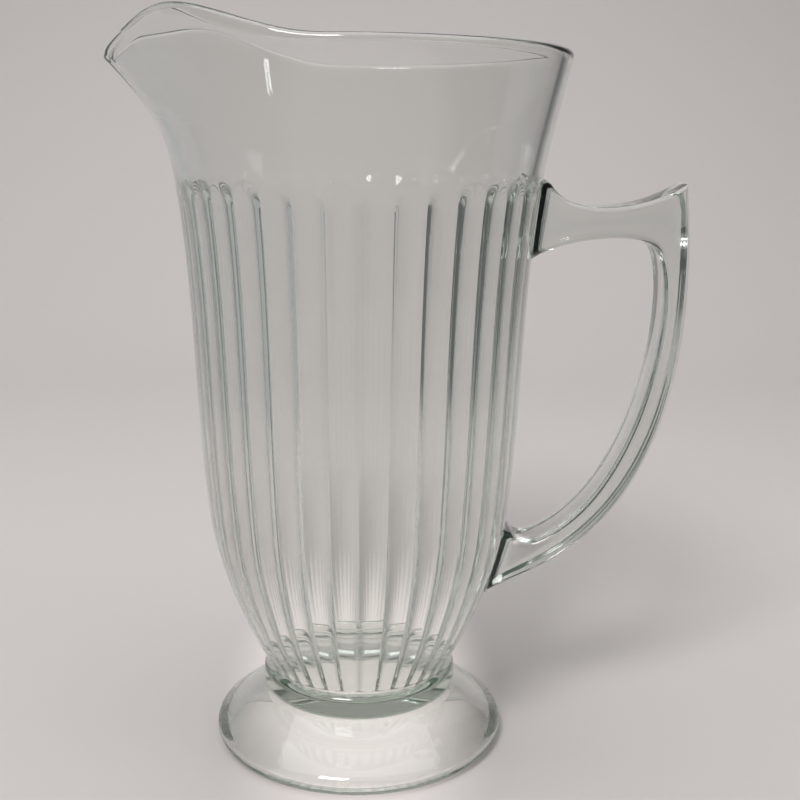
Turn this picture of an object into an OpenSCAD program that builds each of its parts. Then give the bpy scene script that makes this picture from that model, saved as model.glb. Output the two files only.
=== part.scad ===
// Footed beer pitcher of clear pressed glass.
// Origin at the centre of the foot's underside, +Z up, pouring lip towards -X, handle towards +X.

/* [Foot] */
// Outer radius of the foot
foot_r = 51; // [44:0.5:58]
// Radius of the rounded outer edge of the foot
foot_edge_r = 4.2; // [3:0.1:5]
// Angle up the rounded edge at which the domed top leaves it
dome_angle = 53; // [40:1:70]
// Height at which the foot's domed top meets the neck ring
foot_h = 18.5; // [15:0.5:22]
// Width of the flat standing ring under the foot
stand_w = 2.8; // [1:0.1:6]
// Depth of the hollow inside the standing ring
kick_depth = 12; // [6:0.1:13]

/* [Neck ring] */
// Outer radius of the ring between the foot and the bowl
ring_r = 34; // [32.5:0.1:37]
// Height of the ring
ring_h = 8.8; // [7:0.1:11]
// Rounding of the ring's two outer edges
ring_edge_r = 2.6; // [1:0.1:3.4]
// Radius of the seat in the ring's top that takes the base of the bowl
seat_r = 29; // [26:0.1:29.5]
// Depth of that seat
seat_depth = 4.6; // [2:0.1:5.5]

/* [Bowl] */
// Outer radius at the bottom of the bowl
bowl_r = 31.8; // [30:0.1:32.4]
// Angle of the wall from upright at the bottom of the bowl
bowl_angle = 28.4; // [24:0.1:32]
// Height above the neck ring at which the bowl turns into the upright wall
belly_rise = 56.7; // [50:0.1:66]
// Outer radius at that point
belly_r = 51.7; // [48:0.1:55]
// Angle of the wall from upright at that point
belly_angle = 6.3; // [4:0.1:9]
// Height above the neck ring at which the wall turns into the flared band
turn_rise = 164.2; // [140:0.1:190]
// Outer radius at that height
band_r = 59.2; // [56:0.1:62]
// Angle of the wall from upright at that height
band_angle = 7.5; // [5:0.1:10]
// Thickness of the glass wall between the ribs
wall = 3.5; // [2.8:0.1:4.5]
// Thickness of the bowl's floor above its seat
floor_t = 4; // [3:0.1:6.5]
// Radius of the flat part of the inside floor
floor_r = 24.5; // [20:0.1:26]
// Rise of the rounding between the floor and the wall
floor_rise = 3.2; // [2.5:0.1:8]

/* [Ribs] */
// Number of ribs round the inside of the bowl
rib_count = 36; // [24:1:44]
// How far a rib stands in from the wall at the top of the bowl
rib_depth = 1.5; // [0.6:0.1:2]
// Rise of the ribs' domed tops above the turn of the wall
rib_rise = 6; // [3:0.1:7]
// Length over which a rib's top runs out into the wall
rib_runout = 8; // [4:0.1:12]
// Drop of a rib's top from its crest to its two sides
rib_arch = 2.5; // [1:0.1:4]

/* [Rim and lip] */
// Height of the flared band, from the turn of the wall to the rim on the handle side
band_h = 44.9; // [36:0.1:54]
// Rise of the lip band's lower edge above the turn of the wall
seam_rise = 8.5; // [7.5:0.1:12]
// Outer radius of the rim on the handle side
rim_r = 68.2; // [64:0.1:72]
// Angle of the wall from upright at the rim
rim_angle = 11.6; // [8:0.1:16]
// Rise of the two shoulders beside the lip above the rim on the handle side
shoulder_rise = 9.6; // [5:0.1:15]
// Angle from the lip to each shoulder
shoulder_angle = 37; // [30:0.5:44]
// Angle from the lip to where the rim becomes level
level_angle = 82; // [75:1:100]
// Drop of the lip's tip below the rim on the handle side
tip_drop = 1.8; // [0:0.1:6]
// How far the lip's tip is pulled out beyond the wall
lip_reach = 13.5; // [10:0.1:18]
// Angle from the lip over which the pull fades
lip_angle = 16.1; // [12:0.1:20]

/* [Handle] */
// Width of the handle along its whole grip
handle_w = 18; // [14:0.5:20]
// Width of the handle where it meets each pad
root_w = 20; // [16:0.5:22]
// Rounding of the handle's long edges
handle_edge_r = 2.4; // [1:0.1:3]
// Drop of the thumb point, the handle's outer corner, below the top of the upper pad
thumb_drop = 2.1; // [0:0.1:4]
// Distance from the wall to the thumb point
thumb_reach = 47.3; // [42:0.1:54]
// Drop from the thumb point to the inside corner
corner_drop = 21; // [19:0.1:24]
// Inset from the thumb point to the inside corner
corner_inset = 9; // [7:0.1:11]
// Distance from the lower pad to where the grip's inside bends up to it
heel_reach = 9.4; // [7:0.1:12]
// Drop of that bend below the top of the lower pad's face
heel_drop = 2.4; // [1.5:0.1:3.5]

/* [Handle pads] */
// How far a pad stands out from the wall
pad_stand = 2.2; // [1.5:0.1:3.5]
// Bevel at the top and bottom of a pad
pad_bevel = 2; // [1:0.1:3]
// Width of a pad on the wall
pad_w = 25; // [23:0.5:28]
// Rise of the upper pad's top above the turn of the wall
upper_pad_rise = 5.9; // [4:0.1:6.9]
// Length of the upper pad
upper_pad_len = 26.8; // [23:0.1:31]
// Rise of the lower pad's bottom above the neck ring
lower_pad_rise = 27.3; // [22:0.1:33]
// Length of the lower pad
lower_pad_len = 23.4; // [20:0.1:26]

/* [Hidden] */

$fn = 96;
glass = [0.72, 0.74, 0.72];
glass_edge = [0.60, 0.64, 0.61];

// Steps round one rib, and round the whole bowl
rib_steps = 4;
round_steps = rib_count * rib_steps;
step_angle = 360 / round_steps;

// Rings of wall between the named heights of the bowl
base_rings = 3;
lower_pad_rings = 3;
waist_rings = 4;
upper_pad_rings = 2;
runout_rings = 4;
upper_inside_rings = 3;
lower_inside_rings = 3;
floor_rings = 5;

// Steps along the curves of the foot's profile, and how the hollow falls off to its edge
curve_steps = 12;
kick_fall_share = 3;

// Rings up the lip band's wall, and how its pull grows with height and fades with angle
lip_rings = 5;
lip_rise_share = 1.92;
lip_fade_share = 1.6;
tip_rise_share = 1.02;

// Sections along the handle's top bar, its grip and its heel
bar_sections = 10;
grip_sections = 18;
heel_sections = 4;
// Share of the outer edge that lies opposite the grip's inside, before the heel
grip_share = 0.9;
// Share of the handle's length over which the root widening fades
root_fade_share = 0.1;

// Handles of the curves, as shares of the straight distance between their ends
bar_top_shares = [[0.14, -0.245], [0.67, -0.21]];
bar_under_shares = [[0.38, 0.15], [0.89, 0.18]];
grip_outer_shares = [[0.038, -0.30], [0.029, -0.79]];
grip_inner_shares = [[0.078, -0.086], [0.026, -0.767]];
heel_shares = [[-0.41, -0.2], [-0.85, -0.12]];
dome_shares = [[-0.24, 0.18], [-0.55, 0.43]];
floor_shares = [[-0.05, -0.11], [-0.28, -0.53]];

// Heights of the pieces, each from the one below it
bowl_h = foot_h + ring_h;
seat_h = bowl_h - seat_depth;
floor_h = seat_h + floor_t;
belly_h = bowl_h + belly_rise;
turn_h = bowl_h + turn_rise;
rib_top = turn_h + rib_rise;
lip_h = turn_h + seam_rise;
rim_h = turn_h + band_h;
shoulder_h = rim_h + shoulder_rise;
tip_h = rim_h - tip_drop;
upper_pad_top = turn_h + upper_pad_rise;
upper_pad_h = upper_pad_top - upper_pad_len;
lower_pad_h = bowl_h + lower_pad_rise;
lower_pad_top = lower_pad_h + lower_pad_len;
thumb_h = upper_pad_top - thumb_drop;

rim_edge_r = wall / 2;
kick_r = foot_r - foot_edge_r - stand_w;
knots = [
    [bowl_h, bowl_r, tan(bowl_angle)],
    [belly_h, belly_r, tan(belly_angle)],
    [turn_h, band_r, tan(band_angle)],
    [rim_h, rim_r, tan(rim_angle)]
];

// Cubic through two knots, each a height, a radius and a slope
function cubic(a, b, z) =
    let (h = b[0] - a[0], t = (z - a[0]) / h)
    (2 * t ^ 3 - 3 * t ^ 2 + 1) * a[1] + (t ^ 3 - 2 * t ^ 2 + t) * h * a[2]
    + (3 * t ^ 2 - 2 * t ^ 3) * b[1] + (t ^ 3 - t ^ 2) * h * b[2];

// Outer radius of the body at a height, before the lip
function body_r(z) =
    z < belly_h ? cubic(knots[0], knots[1], z)
    : z < turn_h ? cubic(knots[1], knots[2], z)
    : z < rim_h ? cubic(knots[2], knots[3], z)
    : rim_r + (z - rim_h) * tan(rim_angle);

// Cubic curve between two points, its handles given as shares of their distance
function curve_point(a, b, shares, t) =
    let (span = norm(b - a), c = a + shares[0] * span, d = a + shares[1] * span)
    a * (1 - t) ^ 3 + c * 3 * t * (1 - t) ^ 2 + d * 3 * t ^ 2 * (1 - t) + b * t ^ 3;

function curve(a, b, shares, steps) = [for (k = [0:steps]) curve_point(a, b, shares, k / steps)];

// Heights from one level to the next, without the last
function levels(a, b, count) = [for (k = [0:count - 1]) a + (b - a) * k / count];

function polar(r, angle, z) = [r * cos(angle), r * sin(angle), z];

// Two triangles between the corners of a cell of a grid
function cell(a, b, c, d) = [[a, b, c], [a, c, d]];

// Faces of a tube of rings, each ring closed on itself
function tube_faces(rings, steps) = [
    for (j = [0:rings - 2], i = [0:steps - 1], f = cell(
        j * steps + i, (j + 1) * steps + i,
        (j + 1) * steps + (i + 1) % steps, j * steps + (i + 1) % steps)) f
];

// Bowl

// Level rings of the smooth outside, from the neck ring to the lip band
outer_levels = [
    each levels(bowl_h, lower_pad_h, base_rings),
    each levels(lower_pad_h, lower_pad_top, lower_pad_rings),
    each levels(lower_pad_top, upper_pad_h, waist_rings),
    each levels(upper_pad_h, upper_pad_top, upper_pad_rings),
    upper_pad_top,
    lip_h
];
upper_pad_ring = base_rings + lower_pad_rings + waist_rings;

// Point of the outside on ring j, i steps round from the handle
function wall_point(i, j) = polar(body_r(outer_levels[j]), i * step_angle, outer_levels[j]);

// Place across a rib, from -1 in one groove to 1 in the next
function across(i) = 2 * (i % rib_steps) / rib_steps - 1;

// How far a share of a rib stands in from the inside of the wall, i steps round
function rib_in(r, i, share) = rib_depth * r / band_r * share * (1 - across(i) ^ 2);

// Rings of the ribbed inside: height, share of the ribs, share of the arch of their tops
rib_end_h = rib_top - rib_arch - 2 * rib_runout;
floor_end_h = floor_h + floor_rise;
inside_rings = [
    [lip_h, 0, 0],
    for (k = [0:runout_rings])
        let (t = k / runout_rings) [rib_top - rib_runout * t, t ^ 2 * (3 - 2 * t), 1],
    for (z = levels(rib_end_h, belly_h, upper_inside_rings)) [z, 1, 0],
    for (z = levels(belly_h, floor_end_h, lower_inside_rings)) [z, 1, 0]
];

// Point of a ring of the inside, i steps round from the handle
function inside_point(i, ring) =
    let (
        z = ring[0] - rib_arch * ring[2] * (1 - sqrt(1 - across(i) ^ 2)),
        r = body_r(z) - wall
    )
    polar(r - rib_in(r, i, ring[1]), i * step_angle, z);

// Rounding from the wall to the flat of the floor, over which the ribs fade
floor_start = [body_r(floor_end_h) - wall, floor_end_h];
floor_profile = curve(floor_start, [floor_r, floor_h], floor_shares, floor_rings);

function floor_point(i, k) =
    let (p = floor_profile[k])
    polar(p[0] - rib_in(p[0], i, 1 - k / floor_rings), i * step_angle, p[1]);

// Base of the bowl that sits in the neck ring
seat_profile = [[seat_r, seat_h], [seat_r, bowl_h]];

module fluted_bowl() {
    rings = len(seat_profile) + len(outer_levels) + len(inside_rings) + len(floor_profile);
    points = [
        for (p = seat_profile, i = [0:round_steps - 1]) polar(p[0], i * step_angle, p[1]),
        for (j = [0:len(outer_levels) - 1], i = [0:round_steps - 1]) wall_point(i, j),
        for (ring = inside_rings, i = [0:round_steps - 1]) inside_point(i, ring),
        for (k = [0:floor_rings], i = [0:round_steps - 1]) floor_point(i, k)
    ];
    color(glass)
        polyhedron(points, [
            each tube_faces(rings, round_steps),
            [for (i = [0:round_steps - 1]) i],
            [for (i = [0:round_steps - 1]) rings * round_steps - 1 - i]
        ]);
}

// Lip band

// Height of the rim at an angle from the lip
function rim_top(angle) =
    let (
        a = abs(angle),
        down = sin(90 * min(a / shoulder_angle, 1)) ^ tip_rise_share,
        along = (a - shoulder_angle) / (level_angle - shoulder_angle)
    )
    a < shoulder_angle ? tip_h + (shoulder_h - tip_h) * down
    : a < level_angle ? rim_h + (shoulder_h - rim_h) * (1 + cos(180 * along)) / 2
    : rim_h;

// Outer radius of the lip band at an angle from the lip, at a share of its height
function lip_r(angle, share) =
    body_r(lip_h + (rim_top(angle) - lip_h) * share)
    + lip_reach * exp(-(abs(angle) / lip_angle) ^ lip_fade_share) * share ^ lip_rise_share;

// Closed section of the band at an angle: up the outside, over the rounded rim, down the inside
function lip_section(angle) =
    let (top = rim_top(angle) - rim_edge_r, rise = top - lip_h)
    [
        for (k = [0:lip_rings]) let (s = k / lip_rings) [lip_r(angle, s), lip_h + rise * s],
        for (t = [45:45:135])
            [lip_r(angle, 1) - rim_edge_r * (1 - cos(t)), top + rim_edge_r * sin(t)],
        for (k = [lip_rings:-1:0]) let (s = k / lip_rings) [lip_r(angle, s) - wall, lip_h + rise * s]
    ];

module lip_band() {
    sections = [
        for (i = [0:round_steps - 1])
            let (angle = i * step_angle - 180) [for (p = lip_section(angle)) polar(p[0], angle + 180, p[1])]
    ];
    rings = len(sections[0]);
    points = [for (j = [0:rings - 1], i = [0:round_steps - 1]) sections[i][j]];
    closing = [
        for (i = [0:round_steps - 1], f = cell(
            (rings - 1) * round_steps + i, i,
            (i + 1) % round_steps, (rings - 1) * round_steps + (i + 1) % round_steps)) f
    ];
    color(glass)
        polyhedron(points, [each tube_faces(rings, round_steps), each closing]);
}

// Neck ring and foot

module neck_ring() {
    side = ring_r - ring_edge_r;
    color(glass_edge)
        translate([0, 0, foot_h])
            difference() {
                rotate_extrude() {
                    square([side, ring_h]);
                    translate([0, ring_edge_r])
                        square([ring_r, ring_h - 2 * ring_edge_r]);
                    for (z = [ring_edge_r, ring_h - ring_edge_r])
                        translate([side, z])
                            circle(ring_edge_r);
                }
                translate([0, 0, ring_h - seat_depth])
                    cylinder(ring_h, seat_r, seat_r);
            }
}

module foot() {
    edge = foot_r - foot_edge_r;
    dome_start = [
        edge + foot_edge_r * cos(dome_angle),
        foot_edge_r + foot_edge_r * sin(dome_angle)
    ];
    color(glass_edge)
        rotate_extrude() {
            polygon([
                for (k = [0:curve_steps])
                    let (s = k / curve_steps) [kick_r * s, kick_depth * (1 - s ^ kick_fall_share)],
                [edge, 0],
                [edge, foot_edge_r],
                each curve(dome_start, [ring_r, foot_h], dome_shares, curve_steps),
                [0, foot_h]
            ]);
            translate([edge, foot_edge_r])
                circle(foot_edge_r);
        }
}

// Pads

// Corner of a pad's flat outer face, at a height
function pad_face(z) = [body_r(z) + pad_stand, z];

// Point of the straight line between the two ends of a pad's face, a share of the way up
function pad_line(low, high, share) =
    pad_face(low + pad_bevel) + (pad_face(high - pad_bevel) - pad_face(low + pad_bevel)) * share;

// Block between rings first to last of the wall and a flat face in front of them
module pad(first, last, low, high) {
    half = max(1, round(asin(pad_w / 2 / body_r((low + high) / 2)) / step_angle));
    columns = 2 * half + 1;
    rows = last - first + 1;
    inner = [for (j = [first:last], i = [-half:half]) wall_point(i, j)];
    outer = [
        for (j = [first:last], i = [-half:half])
            let (
                share = (wall_point(i, j)[2] - low) / (high - low),
                p = pad_line(low, high, share)
            )
            [p[0], root_w / 2 * i / half, p[1]]
    ];
    count = rows * columns;
    function at(row, column) = row * columns + column;
    edge = [
        for (c = [0:columns - 1]) at(0, c),
        for (r = [1:rows - 1]) at(r, columns - 1),
        for (c = [columns - 2:-1:0]) at(rows - 1, c),
        for (r = [rows - 2:-1:1]) at(r, 0)
    ];
    faces = [
        for (r = [0:rows - 2], c = [0:columns - 2], f = cell(
            at(r, c), at(r, c + 1), at(r + 1, c + 1), at(r + 1, c))) f,
        for (r = [0:rows - 2], c = [0:columns - 2], f = cell(
            count + at(r, c), count + at(r + 1, c), count + at(r + 1, c + 1), count + at(r, c + 1))) f,
        for (k = [0:len(edge) - 1])
            let (a = edge[k], b = edge[(k + 1) % len(edge)])
            each cell(b, a, count + a, count + b)
    ];
    polyhedron([each inner, each outer], faces);
}

module upper_handle_pad() {
    color(glass_edge)
        pad(upper_pad_ring, upper_pad_ring + upper_pad_rings, upper_pad_h, upper_pad_top);
}

module lower_handle_pad() {
    color(glass_edge)
        pad(base_rings, base_rings + lower_pad_rings, lower_pad_h, lower_pad_top);
}

// Handle

thumb = [body_r(thumb_h) + thumb_reach, thumb_h];
corner = thumb - [corner_inset, corner_drop];
upper_seat = [for (s = [1, 0]) pad_line(upper_pad_h, upper_pad_top, s)];
lower_seat = [for (s = [0, 1]) pad_line(lower_pad_h, lower_pad_top, s)];
heel = lower_seat[1] + [heel_reach, -heel_drop];

// Outer and inner edge points of each section, from the upper pad to the lower one
handle_edges = [
    for (k = [0:bar_sections - 1])
        let (t = k / bar_sections)
        [
            curve_point(upper_seat[0], thumb, bar_top_shares, t),
            curve_point(upper_seat[1], corner, bar_under_shares, t)
        ],
    for (k = [0:grip_sections - 1])
        let (t = k / grip_sections)
        [
            curve_point(thumb, lower_seat[0], grip_outer_shares, t * grip_share),
            curve_point(corner, heel, grip_inner_shares, t)
        ],
    for (k = [0:heel_sections])
        let (t = k / heel_sections)
        [
            curve_point(thumb, lower_seat[0], grip_outer_shares, grip_share + (1 - grip_share) * t),
            curve_point(heel, lower_seat[1], heel_shares, t)
        ]
];

// Half the handle's width at a share of its length
function half_w(share) =
    let (near = max(0, 1 - min(share, 1 - share) / root_fade_share))
    (handle_w + (root_w - handle_w) * near ^ 2) / 2;

// Rounded rectangle from the inner to the outer edge point
function handle_section(outer, inner, half) =
    let (
        middle = (outer + inner) / 2,
        along = (outer - inner) / norm(outer - inner),
        reach = norm(outer - inner) / 2 - handle_edge_r,
        side = half - handle_edge_r
    )
    [
        for (q = [0:3], t = [0:45:90])
            let (
                angle = q * 90 + t,
                u = reach * (q == 0 || q == 3 ? 1 : -1) + handle_edge_r * cos(angle),
                v = side * (q < 2 ? 1 : -1) + handle_edge_r * sin(angle),
                p = middle + along * u
            )
            [p[0], v, p[1]]
    ];

module handle() {
    sections = [
        for (k = [0:len(handle_edges) - 1])
            handle_section(handle_edges[k][0], handle_edges[k][1], half_w(k / (len(handle_edges) - 1)))
    ];
    sides = len(sections[0]);
    rings = len(sections);
    color(glass_edge)
        polyhedron([for (s = sections) each s], [
            each tube_faces(rings, sides),
            [for (i = [0:sides - 1]) i],
            [for (i = [0:sides - 1]) rings * sides - 1 - i]
        ]);
}

fluted_bowl();
lip_band();
neck_ring();
foot();
handle();
upper_handle_pad();
lower_handle_pad();
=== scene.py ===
import math

import bmesh
import bpy
import numpy as np
from mathutils import Euler, Matrix, Vector


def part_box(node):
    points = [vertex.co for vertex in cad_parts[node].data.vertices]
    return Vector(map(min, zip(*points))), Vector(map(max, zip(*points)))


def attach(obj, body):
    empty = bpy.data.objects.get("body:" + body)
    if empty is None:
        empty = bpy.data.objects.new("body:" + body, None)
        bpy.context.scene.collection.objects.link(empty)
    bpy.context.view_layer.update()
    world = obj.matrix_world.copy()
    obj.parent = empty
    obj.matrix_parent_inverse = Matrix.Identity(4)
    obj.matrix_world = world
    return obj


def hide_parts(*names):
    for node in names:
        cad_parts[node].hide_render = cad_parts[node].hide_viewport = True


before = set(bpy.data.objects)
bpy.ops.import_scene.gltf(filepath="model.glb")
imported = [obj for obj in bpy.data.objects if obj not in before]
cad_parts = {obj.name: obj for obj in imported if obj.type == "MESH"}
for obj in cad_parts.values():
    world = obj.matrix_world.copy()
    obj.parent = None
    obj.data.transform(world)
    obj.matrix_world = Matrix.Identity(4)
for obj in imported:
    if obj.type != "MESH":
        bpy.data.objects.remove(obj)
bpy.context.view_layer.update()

MM = 0.001

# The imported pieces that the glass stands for, and the sizes that it takes from them
GLASS_NODES = (
    "fluted_bowl", "lip_band", "neck_ring", "foot",
    "handle", "upper_handle_pad", "lower_handle_pad",
)
_, foot_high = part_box("foot")
_, ring_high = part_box("neck_ring")
band_low, band_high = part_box("lip_band")
upper_pad_low, upper_pad_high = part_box("upper_handle_pad")
lower_pad_low, lower_pad_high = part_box("lower_handle_pad")
FOOT_R = foot_high.x
FOOT_H = foot_high.z
RING_R = ring_high.x
BOWL_H = ring_high.z
LIP_H = band_low.z
SHOULDER_H = band_high.z

# Foot and neck ring
FOOT_EDGE_R = 4.2 * MM
DOME_TURN = math.radians(53)
DOME_SHARES = ((-0.24, 0.18), (-0.55, 0.43))
STAND_W = 2.8 * MM
KICK_DEPTH = 12 * MM
KICK_POWER = 3
RING_EDGE_R = 2.6 * MM
RING_LOW_TURN = math.radians(-60)
RING_HIGH_TURN = math.radians(66)
GROOVE_DEPTH = 1.5 * MM
GROOVE_RISE = RING_EDGE_R * 0.08

# Wall: height, radius and slope of its outside, from the base of the bowl to the rim
RIM_H = SHOULDER_H - 9.6 * MM
BAND_R = 59.2 * MM
BELLY_H = BOWL_H + 56.7 * MM
WALL_KNOTS = (
    (BOWL_H, 31.8 * MM, math.tan(math.radians(28.4))),
    (BELLY_H, 51.7 * MM, math.tan(math.radians(6.3))),
    (LIP_H - 8.5 * MM, BAND_R, math.tan(math.radians(7.5))),
    (RIM_H, 68.2 * MM, math.tan(math.radians(11.6))),
)
WALL_T = 3.5 * MM
RIM_EDGE_R = WALL_T / 2
FLOOR_H = BOWL_H - 0.6 * MM
FLOOR_R = 24.5 * MM
FLOOR_RISE = 3.2 * MM
FLOOR_SHARES = ((-0.05, -0.11), (-0.28, -0.53))

# Ribs on the inside of the bowl
RIBS = 36
RIB_STEPS = 14
RIB_TOP = LIP_H - 2.5 * MM
RIB_DEPTH = 1.5 * MM
RIB_RUNOUT = 8 * MM
RIB_TURN = 2 * math.pi / RIBS
ARCH_DROP = 2.5 * MM
ARCH_GAP = 2 * MM
RUNOUT_SHARES = (0.0, 0.12, 0.25, 0.4, 0.55, 0.7, 0.85, 1.0)

# Points along each stretch of the half section
KICK_POINTS = 24
FOOT_EDGE_STEPS = 12
DOME_STEPS = 14
RING_STEPS = 6
BEND_POINTS = 19
STRAIGHT_POINTS = 16
BAND_POINTS = 15
RIM_POINTS = 11
INSIDE_UPPER_POINTS = 15
INSIDE_LOWER_POINTS = 14
FLOOR_CORNER_STEPS = 10
FLOOR_POINTS = 6

# Lip
SHOULDER_TURN = math.radians(37)
LEVEL_TURN = math.radians(82)
TIP_H = RIM_H - 1.8 * MM
LIP_REACH = 13.5 * MM
LIP_TURN = math.radians(16.1)
LIP_RISE_POWER = 1.92
LIP_FADE_POWER = 1.6
TIP_RISE_POWER = 1.02

# Handle
HANDLE_W = 18 * MM
ROOT_W = 20 * MM
HANDLE_EDGE_R = 2.4 * MM
ROOT_FADE_SHARE = 0.1
THUMB_DROP = 2.1 * MM
THUMB_REACH = 47.3 * MM
CORNER_STEP = Vector((-9 * MM, -21 * MM))
HEEL_STEP = Vector((9.4 * MM, -2.4 * MM))
BAR_TOP_SHARES = ((0.14, -0.245), (0.67, -0.21))
BAR_UNDER_SHARES = ((0.38, 0.15), (0.89, 0.18))
GRIP_OUTER_SHARES = ((0.038, -0.30), (0.029, -0.79))
GRIP_INNER_SHARES = ((0.078, -0.086), (0.026, -0.767))
HEEL_SHARES = ((-0.41, -0.2), (-0.85, -0.12))
GRIP_SHARE = 0.9
BAR_STEPS = 16
GRIP_STEPS = 36
HEEL_STEPS = 8
OUTER_STEPS = 400
ROUND_POINTS = 6
PAD_STAND = 2.2 * MM
PAD_BEVEL = 2 * MM
PAD_W = 25 * MM
PAD_ROOT = 3 * MM

# Edges that turn more than this stay crisp
SMOOTH_TURN = math.radians(32)

# Camera, as the photograph was taken
CAMERA_AT = Vector((0, -380.3 * MM, 208.3 * MM))
CAMERA_PITCH = math.radians(12.86)
CAMERA_YAW = math.radians(-2.1)
CAMERA_ROLL = 0.009
CAMERA_LENS = 51.05
CAMERA_SENSOR_W = 36
CAMERA_NEAR = 10 * MM


# Selecting and shaping

def deselect_all():
    if bpy.context.object and bpy.context.object.mode != "OBJECT":
        bpy.ops.object.mode_set(mode="OBJECT")
    bpy.ops.object.select_all(action="DESELECT")


def only(piece):
    """Make a piece the only one selected, and the active one."""
    deselect_all()
    piece.select_set(True)
    bpy.context.view_layer.objects.active = piece


def close_seams(piece, gap=1e-6):
    """Merge the doubles of a spun or lofted piece and turn its faces outwards."""
    only(piece)
    bpy.ops.object.mode_set(mode="EDIT")
    bpy.ops.mesh.select_all(action="SELECT")
    bpy.ops.mesh.remove_doubles(threshold=gap)
    bpy.ops.mesh.normals_make_consistent(inside=False)
    bpy.ops.object.mode_set(mode="OBJECT")


def curve_points(start, end, shares, count):
    """Points of a cubic between two points, its handles given as shares of their distance."""
    start, end = Vector(start), Vector(end)
    span = (end - start).length
    first = start + Vector(shares[0]) * span
    second = start + Vector(shares[1]) * span
    points = []
    for k in range(count + 1):
        t = k / count
        u = 1 - t
        points.append(start * u ** 3 + first * 3 * t * u ** 2 + second * 3 * t ** 2 * u + end * t ** 3)
    return points


def arc_points(centre, radius, first, last, count):
    """Points of an arc round a centre, from one turn to another."""
    turns = np.linspace(first, last, count + 1)
    return [Vector((centre[0] + radius * math.cos(t), centre[1] + radius * math.sin(t))) for t in turns]


# Glass body

def wall_r(z):
    """Outer radius of the wall at a height, before the lip is pulled."""
    z = np.asarray(z, float)
    top_h, top_r, top_slope = WALL_KNOTS[-1]
    r = top_r + (z - top_h) * top_slope
    for (h0, r0, s0), (h1, r1, s1) in reversed(list(zip(WALL_KNOTS, WALL_KNOTS[1:]))):
        h = h1 - h0
        t = (z - h0) / h
        cubic = (
            (2 * t ** 3 - 3 * t ** 2 + 1) * r0 + (t ** 3 - 2 * t ** 2 + t) * h * s0
            + (3 * t ** 2 - 2 * t ** 3) * r1 + (t ** 3 - t ** 2) * h * s1
        )
        r = np.where(z < h1, cubic, r)
    return r


def rim_top(turn):
    """Height of the rim at a turn from the lip."""
    fall = np.sin(math.pi / 2 * np.minimum(turn / SHOULDER_TURN, 1)) ** TIP_RISE_POWER
    along = (turn - SHOULDER_TURN) / (LEVEL_TURN - SHOULDER_TURN)
    slope = RIM_H + (SHOULDER_H - RIM_H) * (1 + np.cos(math.pi * np.clip(along, 0, 1))) / 2
    return np.where(turn < SHOULDER_TURN, TIP_H + (SHOULDER_H - TIP_H) * fall, slope)


def lip_r(turn, share):
    """Outer radius of the band at a turn from the lip, at a share of its height."""
    pull = np.exp(-(turn / LIP_TURN) ** LIP_FADE_POWER) * share ** LIP_RISE_POWER
    return wall_r(LIP_H + (rim_top(turn) - LIP_H) * share) + LIP_REACH * pull


def spot(r, z, rib=0.0, arch=0.0, share=-1.0, out=0.0, up=0.0):
    """A point of the half section, and how the ribs and the lip move it."""
    return (float(r), float(z), rib, arch, share, out, up)


def foot_spots():
    edge = FOOT_R - FOOT_EDGE_R
    kick_r = edge - STAND_W
    kick = [
        Vector((kick_r * s, KICK_DEPTH * (1 - s ** KICK_POWER)))
        for s in np.linspace(0, 1, KICK_POINTS)
    ]
    rounded = arc_points(
        (edge, FOOT_EDGE_R), FOOT_EDGE_R, -math.pi / 2, DOME_TURN, FOOT_EDGE_STEPS,
    )
    dome = curve_points(rounded[-1], (RING_R, FOOT_H), DOME_SHARES, DOME_STEPS)
    return [spot(*p) for p in kick + rounded + dome[1:]]


def ring_spots():
    side = RING_R - RING_EDGE_R
    low_centre = (side, FOOT_H + RING_EDGE_R)
    high_centre = (side, BOWL_H - RING_EDGE_R)
    low = arc_points(low_centre, RING_EDGE_R, RING_LOW_TURN, 0, RING_STEPS)
    high = arc_points(high_centre, RING_EDGE_R, 0, RING_HIGH_TURN, RING_STEPS)
    groove = [Vector((RING_R - GROOVE_DEPTH, FOOT_H + GROOVE_RISE))]
    return [spot(*p) for p in groove + low + high]


def wall_spots():
    bend = np.linspace(BOWL_H, BELLY_H, BEND_POINTS)
    straight = np.linspace(BELLY_H, LIP_H, STRAIGHT_POINTS)
    return [spot(wall_r(z), z) for z in [*bend, *straight[1:-1]]]


def band_spots():
    rise = RIM_H - RIM_EDGE_R - LIP_H
    shares = np.linspace(0, 1, BAND_POINTS)
    far = math.pi

    def at(share, out, up):
        r = lip_r(far, share) + out
        z = LIP_H + rise * share + up
        return spot(r, z, share=float(share), out=out, up=up)

    outside = [at(s, 0, 0) for s in shares]
    rounded = []
    for t in np.linspace(0, math.pi, RIM_POINTS)[1:-1]:
        rounded.append(at(1, -RIM_EDGE_R * (1 - math.cos(t)), RIM_EDGE_R * math.sin(t)))
    inside = [at(s, -WALL_T, 0) for s in reversed(shares)]
    return outside + rounded + inside


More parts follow.
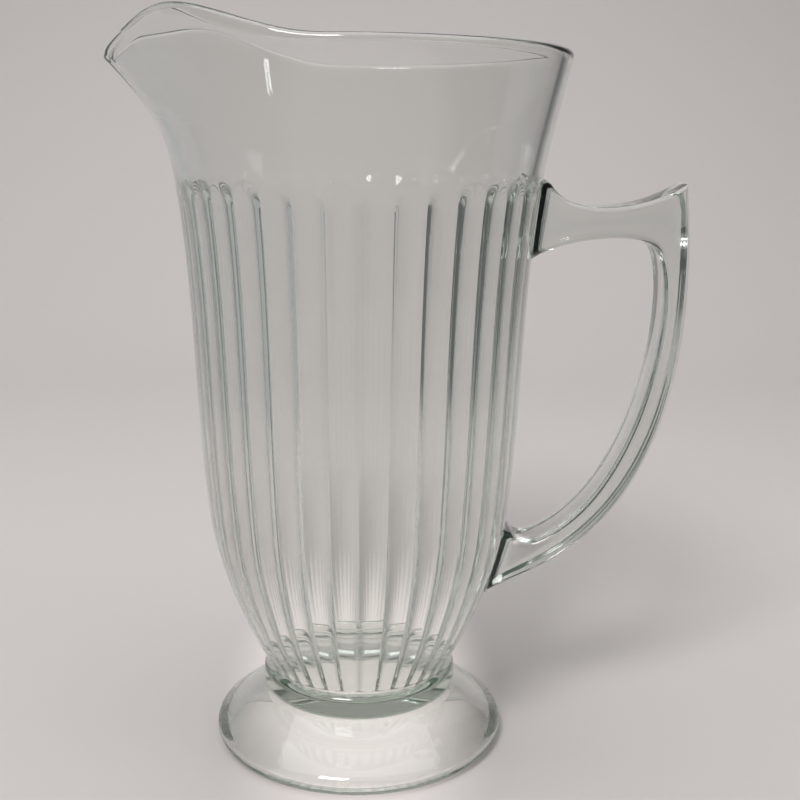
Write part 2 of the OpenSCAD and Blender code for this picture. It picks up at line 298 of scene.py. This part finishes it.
def inside_spots():
    floor_end = FLOOR_H + FLOOR_RISE
    spots = []
    for s in RUNOUT_SHARES:
        z = RIB_TOP - RIB_RUNOUT * s
        spots.append(spot(wall_r(z) - WALL_T, z, rib=s ** 2 * (3 - 2 * s), arch=1))
    arch_end = RIB_TOP - ARCH_DROP - RIB_RUNOUT - ARCH_GAP
    upper = np.linspace(arch_end, BELLY_H, INSIDE_UPPER_POINTS)
    lower = np.linspace(BELLY_H, floor_end, INSIDE_LOWER_POINTS)
    spots += [spot(wall_r(z) - WALL_T, z, rib=1) for z in [*upper, *lower[1:]]]
    corner_start = (spots[-1][0], floor_end)
    corner = curve_points(corner_start, (FLOOR_R, FLOOR_H), FLOOR_SHARES, FLOOR_CORNER_STEPS)[1:]
    spots += [spot(*p, rib=1 - k / (FLOOR_CORNER_STEPS - 1)) for k, p in enumerate(corner)]
    return spots + [spot(r, FLOOR_H) for r in np.linspace(FLOOR_R, 0, FLOOR_POINTS)[1:]]


def turn_body(name, spots):
    """Draw the half section by extruding one point, and spin it round the axis."""
    deselect_all()
    bpy.ops.mesh.primitive_plane_add(size=MM)
    body = bpy.context.object
    body.name = name
    bpy.ops.object.mode_set(mode="EDIT")
    bpy.ops.mesh.merge(type="CENTER")
    at = Vector((spots[0][0], 0, spots[0][1]))
    bpy.ops.transform.translate(value=at)
    for r, z, *_ in spots[1:]:
        step = Vector((r, 0, z)) - at
        bpy.ops.mesh.extrude_region_move(TRANSFORM_OT_translate={"value": step})
        at = at + step
    bpy.ops.object.mode_set(mode="OBJECT")
    turned = body.modifiers.new("turned", "SCREW")
    turned.axis = "Z"
    turned.angle = 2 * math.pi
    turned.steps = turned.render_steps = RIBS * RIB_STEPS
    turned.use_merge_vertices = True
    bpy.ops.object.modifier_apply(modifier=turned.name)
    close_seams(body)
    return body


def shape_wall(body, spots):
    """Raise the ribs on the inside of the spun wall and pull the lip, point by point."""
    mesh = body.data
    co = np.empty(len(mesh.vertices) * 3)
    mesh.vertices.foreach_get("co", co)
    co = co.reshape(-1, 3)
    r, z, rib, arch, share, out, up = np.array(spots).T
    radius = np.hypot(co[:, 0], co[:, 1])
    own = np.argmin((radius[:, None] - r) ** 2 + (co[:, 2, None] - z) ** 2, axis=1)
    turn = np.arctan2(co[:, 1], co[:, 0])

    across = 2 * ((turn / RIB_TURN + 1e-6) % 1) - 1
    across = np.clip(np.round(across * RIB_STEPS) / RIB_STEPS, -1, 1)
    drop = ARCH_DROP * (1 - np.sqrt(1 - across ** 2))
    new_z = z[own] - drop * arch[own]
    smooth_r = np.where(arch[own] > 0, wall_r(new_z) - WALL_T, radius)
    new_r = smooth_r - rib[own] * RIB_DEPTH * smooth_r / BAND_R * (1 - across ** 2)

    lip_turn = np.pi - np.abs(turn)
    lifted = np.maximum(share[own], 0)
    band = share[own] >= 0
    rise = rim_top(lip_turn) - RIM_EDGE_R - LIP_H
    new_z = np.where(band, LIP_H + rise * lifted + up[own], new_z)
    new_r = np.where(band, lip_r(lip_turn, lifted) + out[own], new_r)

    scale = np.where(radius > MM, new_r / np.maximum(radius, MM), 1)
    co[:, 0] *= scale
    co[:, 1] *= scale
    co[:, 2] = new_z
    mesh.vertices.foreach_set("co", co.ravel())
    mesh.update()


def make_body():
    spots = foot_spots() + ring_spots() + wall_spots() + band_spots() + inside_spots()
    body = turn_body("pitcher_glass", spots)
    shape_wall(body, spots)
    return body


# Handle

def pad_face(z):
    return Vector((float(wall_r(z)) + PAD_STAND, z))


def handle_edges():
    """Outer and inner edge points of each section of the handle, from the upper pad to the lower one."""
    upper = [pad_face(upper_pad_high.z - PAD_BEVEL), pad_face(upper_pad_low.z + PAD_BEVEL)]
    lower = [pad_face(lower_pad_low.z + PAD_BEVEL), pad_face(lower_pad_high.z - PAD_BEVEL)]
    thumb_h = upper_pad_high.z - THUMB_DROP
    thumb = Vector((float(wall_r(thumb_h)) + THUMB_REACH, thumb_h))
    corner = thumb + CORNER_STEP
    heel = lower[1] + HEEL_STEP
    bar = zip(
        curve_points(upper[0], thumb, BAR_TOP_SHARES, BAR_STEPS),
        curve_points(upper[1], corner, BAR_UNDER_SHARES, BAR_STEPS),
    )
    whole = curve_points(thumb, lower[0], GRIP_OUTER_SHARES, OUTER_STEPS)
    turn_at = int(OUTER_STEPS * GRIP_SHARE)
    rest = OUTER_STEPS - turn_at
    grip_outer = [whole[round(turn_at * k / GRIP_STEPS)] for k in range(GRIP_STEPS + 1)]
    heel_outer = [whole[turn_at + round(rest * k / HEEL_STEPS)] for k in range(HEEL_STEPS + 1)]
    grip = zip(grip_outer, curve_points(corner, heel, GRIP_INNER_SHARES, GRIP_STEPS))
    end = zip(heel_outer, curve_points(heel, lower[1], HEEL_SHARES, HEEL_STEPS))
    return [*bar][:-1] + [*grip][:-1] + [*end]


def handle_section(outer, inner, width, edge_r):
    """Rounded rectangle round the line from the inner to the outer edge point."""
    middle = (outer + inner) / 2
    along = (outer - inner).normalized()
    reach = (outer - inner).length / 2 - edge_r
    side = width / 2 - edge_r
    ring = []
    for quarter, (su, sv) in enumerate(((1, 1), (-1, 1), (-1, -1), (1, -1))):
        for t in np.linspace(0, math.pi / 2, ROUND_POINTS):
            turn = quarter * math.pi / 2 + t
            p = middle + along * (su * reach + edge_r * math.cos(turn))
            ring.append(Vector((p.x, sv * side + edge_r * math.sin(turn), p.y)))
    return ring


def pad_sections(outer, inner, away):
    """Sections that carry the handle's end down the pad's bevelled sides and into the wall."""
    grow = (outer - inner).normalized() * PAD_BEVEL
    sag = (PAD_W / 2) ** 2 / (2 * wall_r((outer.y + inner.y) / 2))
    step = away * (PAD_STAND + float(sag))
    wall = handle_section(outer + grow + step, inner - grow + step, PAD_W, HANDLE_EDGE_R)
    root = [p + Vector((away.x, 0, away.y)) * (PAD_ROOT - float(sag)) for p in wall]
    return [root, wall]


def loft(name, sections):
    """A bar through closed sections: a filled ring, extruded from each section to the next."""
    deselect_all()
    bpy.ops.mesh.primitive_circle_add(vertices=len(sections[0]), radius=MM, fill_type="NGON")
    bar = bpy.context.object
    bar.name = name
    for vertex, p in zip(bar.data.vertices, sections[0]):
        vertex.co = p
    bpy.ops.object.mode_set(mode="EDIT")
    bpy.ops.mesh.select_all(action="SELECT")
    for before, after in zip(sections, sections[1:]):
        bpy.ops.mesh.extrude_region_move()
        mesh = bmesh.from_edit_mesh(bar.data)
        for vertex in mesh.verts:
            if vertex.select:
                own = min(range(len(before)), key=lambda i: (before[i] - vertex.co).length_squared)
                vertex.co = after[own]
        bmesh.update_edit_mesh(bar.data)
    bpy.ops.object.mode_set(mode="OBJECT")
    close_seams(bar)
    return bar


def make_handle():
    edges = handle_edges()
    count = len(edges) - 1
    sections = []
    for k, (outer, inner) in enumerate(edges):
        near = max(0, 1 - min(k, count - k) / count / ROOT_FADE_SHARE)
        width = HANDLE_W + (ROOT_W - HANDLE_W) * near ** 2
        sections.append(handle_section(outer, inner, width, HANDLE_EDGE_R))
    inwards = Vector((-1, 0))
    upper = pad_sections(*edges[0], inwards)
    lower = pad_sections(*edges[-1], inwards)
    return loft("strap_handle", upper + sections + lower[::-1])


def join_glass(body, bar):
    """Fuse the handle to the body, so that no face is left inside the glass."""
    only(body)
    union = body.modifiers.new("fused", "BOOLEAN")
    union.operation = "UNION"
    union.solver = "MANIFOLD"
    union.object = bar
    bpy.ops.object.modifier_apply(modifier=union.name)
    bpy.data.objects.remove(bar)
    only(body)
    bpy.ops.object.shade_smooth_by_angle(angle=SMOOTH_TURN)


# Materials

GLASS_COLOUR = (0.97, 0.973, 0.965)
GLASS_IOR = 1.52
TINT_COLOUR = (0.74, 0.785, 0.75)
TINT_DENSITY = 35
WAVE_STRETCH = (1, 1, 0.35)
WAVE_SCALE = 38
WAVE_STRENGTH = 0.12
WAVE_DEPTH = 0.4 * MM
SCUFF_H = 0.8 * MM
SCUFF_ROUGHNESS = 0.6
SCRATCH_SCALE = 900
SCRATCH_DETAIL = 3


class Shade:
    """A socket of a material that does maths: each operator adds one Math node."""

    def __init__(self, tree, socket):
        self.tree = tree
        self.socket = socket

    def maths(self, operation, first, second):
        node = self.tree.nodes.new("ShaderNodeMath")
        node.operation = operation
        for slot, value in zip(node.inputs, (first, second)):
            if isinstance(value, Shade):
                self.tree.links.new(value.socket, slot)
            else:
                slot.default_value = value
        return Shade(self.tree, node.outputs[0])

    def __add__(self, other):
        return self.maths("ADD", self, other)

    __radd__ = __add__

    def __sub__(self, other):
        return self.maths("SUBTRACT", self, other)

    def __rsub__(self, other):
        return self.maths("SUBTRACT", other, self)

    def __mul__(self, other):
        return self.maths("MULTIPLY", self, other)

    __rmul__ = __mul__


class Finish:
    """A material, or the world, under construction."""

    def __init__(self, name, kind=bpy.data.materials):
        self.material = kind.new(name)
        self.material.use_nodes = True
        self.tree = self.material.node_tree
        self.tree.nodes.clear()

    def node(self, kind, settings=None, out=0, **sockets):
        """Add a node, set it up, and fill its sockets with values or links."""
        node = self.tree.nodes.new(kind)
        for name, value in (settings or {}).items():
            setattr(node, name, value)
        for name, value in sockets.items():
            slot = node.inputs[name.replace("_", " ")]
            if isinstance(value, Shade):
                self.tree.links.new(value.socket, slot)
            else:
                slot.default_value = value
        if not node.outputs:
            return node
        return Shade(self.tree, node.outputs[out])


def glass_finish():
    """Clear glass, slightly wavy and tinted, scuffed where it stands on the table."""
    f = Finish("clear_pressed_glass")
    place = f.node("ShaderNodeTexCoord", out="Object")
    waves_at = f.node("ShaderNodeMapping", Vector=place, Scale=WAVE_STRETCH)
    waves = f.node("ShaderNodeTexNoise", Vector=waves_at, Scale=WAVE_SCALE, Detail=1)
    bump = f.node("ShaderNodeBump", Height=waves, Strength=WAVE_STRENGTH, Distance=WAVE_DEPTH)
    height = f.node("ShaderNodeSeparateXYZ", out="Z", Vector=place)
    stood_on = f.node(
        "ShaderNodeMapRange",
        Value=height, From_Min=0, From_Max=SCUFF_H, To_Min=1, To_Max=0,
    )
    scratches = f.node(
        "ShaderNodeTexNoise", Vector=place, Scale=SCRATCH_SCALE, Detail=SCRATCH_DETAIL,
    )
    glass = f.node(
        "ShaderNodeBsdfPrincipled",
        Base_Color=(*GLASS_COLOUR, 1),
        Roughness=stood_on * scratches * SCUFF_ROUGHNESS,
        IOR=GLASS_IOR,
        Transmission_Weight=1.0,
        Normal=bump,
    )
    tint = f.node("ShaderNodeVolumeAbsorption", Color=(*TINT_COLOUR, 1), Density=TINT_DENSITY)
    f.node("ShaderNodeOutputMaterial", Surface=glass, Volume=tint)
    return f.material


def painted_light_paper():
    """Pale paper with a painted patch of light round the foot, standing in for the light that the glass
    gathers there. Its sides, out of the camera's view, carry painted shade and show a dim grey only to
    the rays that see them.
    """
    f = Finish("pale_paper_painted_light")
    place = f.node("ShaderNodeTexCoord", out="Object")
    # Painted shade: beyond a pale middle strip, which widens towards the back, the paper turns black
    # towards its sides. This stands in for dark surroundings for the glass edges to show.
    from_middle = f.node("ShaderNodeMapping", Vector=place, Location=(-PALE_MIDDLE, 0, 0))
    sideways = f.node("ShaderNodeSeparateXYZ", out="X", Vector=from_middle)
    back = f.node("ShaderNodeSeparateXYZ", out="Y", Vector=from_middle)
    far_out = sideways.maths("ABSOLUTE", sideways, 0) - back.maths("MAXIMUM", back, 0) * PALE_SPREAD
    painted_shade_mask = f.node(
        "ShaderNodeMapRange", {"interpolation_type": "SMOOTHSTEP"},
        Value=far_out, From_Min=PALE_HALF_W, From_Max=DARK_HALF_W,
    )
    rays = sum(f.node("ShaderNodeLightPath", out=kind) for kind in SEEING_RAYS)
    seen = rays.maths("MINIMUM", rays, 1)
    right = sideways.maths("GREATER_THAN", sideways, 0)
    # Painted shade that the dark sides show only to the rays that see them: a dim grey on the left and a
    # darker grey on the right
    side = f.node("ShaderNodeMixRGB", Fac=right, Color1=(*LEFT_PAINTED_SHADE, 1), Color2=(*RIGHT_PAINTED_SHADE, 1))
    paper_with_painted_shade = f.node("ShaderNodeMixRGB", Fac=painted_shade_mask, Color1=(*PAPER_COLOUR, 1), Color2=(0, 0, 0, 1))
    painted_side_shade = f.node("ShaderNodeMixRGB", Fac=painted_shade_mask * seen, Color1=(0, 0, 0, 1), Color2=side)
    # Painted patch of light round the foot, standing in for the light that the glass gathers onto the
    # paper. For the rays that see it, it takes the place of most of the paper's diffuse shading there,
    # including the object's shadow.
    from_painted_pool = f.node(
        "ShaderNodeMapping",
        Vector=place, Location=(0, -PAINTED_POOL_BACK, 0), Scale=(PAINTED_POOL_SLIMNESS, 1, 1),
    )
    spread = f.node("ShaderNodeVectorMath", {"operation": "LENGTH"}, out="Value", Vector=from_painted_pool)
    painted_pool = f.node(
        "ShaderNodeMapRange", {"interpolation_type": "SMOOTHSTEP"},
        Value=spread, From_Min=PAINTED_POOL_R, From_Max=PAINTED_POOL_EDGE_R, To_Min=PAINTED_POOL_SHARE, To_Max=0,
    )
    painted_pool_seen = painted_pool * seen
    # The paper's diffuse colour is dimmed under the painted patch of light. Its emission carries that
    # painted light and the painted dim grey of the sides.
    matt_under_painted_light = f.node("ShaderNodeMixRGB", Fac=painted_pool_seen, Color1=paper_with_painted_shade, Color2=(0, 0, 0, 1))
    painted_glow = f.node("ShaderNodeMixRGB", Fac=painted_pool_seen, Color1=painted_side_shade, Color2=(*PAINTED_POOL_COLOUR, 1))
    paper = f.node(
        "ShaderNodeBsdfPrincipled",
        Base_Color=matt_under_painted_light, Roughness=PAPER_ROUGHNESS, Emission_Color=painted_glow, Emission_Strength=1,
    )
    f.node("ShaderNodeOutputMaterial", Surface=paper)
    return f.material


# Stage

FLOOR_DROP = 0.3 * MM
SWEEP_HALF_W = 3.0
SWEEP_FRONT = -2.5
SWEEP_BACK = 1.1
SWEEP_R = 0.5
SWEEP_TOP = 2.6
SWEEP_STEPS = 24
PAPER_COLOUR = (0.54, 0.508, 0.497)
PAPER_ROUGHNESS = 0.9
# Painted shade that the paper's far sides show to the rays that see them, standing in for dark
# surroundings: left, then right
LEFT_PAINTED_SHADE = (0.42, 0.425, 0.42)
RIGHT_PAINTED_SHADE = (0.115, 0.117, 0.115)
# Painted patch of light round the foot: its colour, its share at the middle, how slim it is across, how
# far back it sits, and where its fading starts and ends
PAINTED_POOL_COLOUR = (1, 0.91, 0.885)
PAINTED_POOL_SHARE = 0.82
PAINTED_POOL_SLIMNESS = 2.85
PAINTED_POOL_BACK = 44 * MM
PAINTED_POOL_R = 55 * MM
PAINTED_POOL_EDGE_R = 162 * MM
SEEING_RAYS = ("Is Camera Ray", "Is Glossy Ray", "Is Transmission Ray")
# Painted shade on the paper's sides: the middle of the pale strip, where the shade begins and where it
# is full, and how fast the pale strip widens towards the back
PALE_MIDDLE = 0.03
PALE_HALF_W = 0.33
DARK_HALF_W = 0.52
PALE_SPREAD = 0.26
WALL_TOP = 0.35
CEILING_EDGE = 0.75
WALL_LIGHT = 0.09
CEILING_LIGHT = 0.32
LIGHT_BOUNCES = 32

# Softboxes: name, place, the point that it faces, width and height, watts
SOFTBOXES = (
    ("overhead", (0, 0.25, 1.3), (0, 0.75, 0.3), (1.9, 1.6), 13.6),
    ("front_fill", (-0.45, -1.0, 1.3), (0, 0, 0.05), (0.5, 0.5), 16),
    ("right_window", (1.2, -0.6, 0.9), (0, 0, 0.2), (0.04, 0.03), 0.3),
)


def make_sweep():
    """Paper sweep: a floor that curves up into a backdrop."""
    deselect_all()
    bpy.ops.mesh.primitive_plane_add(size=2)
    sweep = bpy.context.object
    sweep.name = "paper_sweep"
    bpy.ops.object.mode_set(mode="EDIT")
    mesh = bmesh.from_edit_mesh(sweep.data)
    for vertex in mesh.verts:
        vertex.co.x *= SWEEP_HALF_W
        vertex.co.y = SWEEP_FRONT if vertex.co.y < 0 else SWEEP_BACK - SWEEP_R
    bmesh.update_edit_mesh(sweep.data)
    bpy.ops.mesh.select_all(action="DESELECT")
    mesh = bmesh.from_edit_mesh(sweep.data)
    mesh.select_mode = {"EDGE"}
    for edge in mesh.edges:
        edge.select_set(all(v.co.y > 0 for v in edge.verts))
    bmesh.update_edit_mesh(sweep.data)
    bend = SWEEP_BACK - SWEEP_R
    at = Vector((0, bend, 0))
    for t in np.linspace(0, math.pi / 2, SWEEP_STEPS + 1)[1:]:
        new = Vector((0, bend + SWEEP_R * math.sin(t), SWEEP_R - SWEEP_R * math.cos(t)))
        bpy.ops.mesh.extrude_region_move(TRANSFORM_OT_translate={"value": new - at})
        at = new
    bpy.ops.mesh.extrude_region_move(TRANSFORM_OT_translate={"value": (0, 0, SWEEP_TOP - SWEEP_R)})
    bpy.ops.mesh.select_all(action="SELECT")
    bpy.ops.transform.translate(value=(0, 0, -FLOOR_DROP))
    bpy.ops.mesh.normals_make_consistent(inside=False)
    bpy.ops.object.mode_set(mode="OBJECT")
    bpy.ops.object.shade_smooth()
    sweep.data.materials.append(painted_light_paper())


def add_softbox(name, at, look_at, size, power):
    light = bpy.data.lights.new(name, "AREA")
    light.shape = "RECTANGLE"
    light.size, light.size_y = size
    light.energy = power
    lamp = bpy.data.objects.new(name, light)
    bpy.context.collection.objects.link(lamp)
    lamp.location = at
    lamp.rotation_euler = (Vector(look_at) - Vector(at)).to_track_quat("-Z", "Y").to_euler()


def make_world():
    """Dim walls under a white ceiling, which lights the table from all round."""
    f = Finish("studio", bpy.data.worlds)
    way = f.node("ShaderNodeTexCoord", out="Generated")
    up = f.node("ShaderNodeSeparateXYZ", out="Z", Vector=way)
    ceiling = f.node(
        "ShaderNodeMapRange", {"interpolation_type": "SMOOTHSTEP"},
        Value=up, From_Min=WALL_TOP, From_Max=CEILING_EDGE, To_Min=WALL_LIGHT, To_Max=CEILING_LIGHT,
    )
    back = f.node("ShaderNodeBackground", Color=(1, 1, 1, 1), Strength=ceiling)
    f.node("ShaderNodeOutputWorld", Surface=back)
    bpy.context.scene.world = f.material


def make_camera():
    camera = bpy.data.cameras.new("camera")
    camera.lens = CAMERA_LENS
    camera.sensor_width = CAMERA_SENSOR_W
    camera.clip_start = CAMERA_NEAR
    eye = bpy.data.objects.new("camera", camera)
    bpy.context.collection.objects.link(eye)
    roll = Matrix.Rotation(CAMERA_ROLL, 3, "Z")
    aim = Euler((math.pi / 2 - CAMERA_PITCH, 0, CAMERA_YAW)).to_matrix() @ roll
    eye.matrix_world = Matrix.Translation(CAMERA_AT) @ aim.to_4x4()
    bpy.context.scene.camera = eye


# Scene

glass = make_body()
join_glass(glass, make_handle())
glass.data.materials.clear()
glass.data.materials.append(glass_finish())
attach(glass, "root")
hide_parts(*GLASS_NODES)

make_sweep()
make_world()
for softbox in SOFTBOXES:
    add_softbox(*softbox)
make_camera()

scene = bpy.context.scene
scene.view_settings.view_transform = "Standard"
scene.cycles.max_bounces = LIGHT_BOUNCES
scene.cycles.transmission_bounces = LIGHT_BOUNCES
scene.cycles.glossy_bounces = LIGHT_BOUNCES
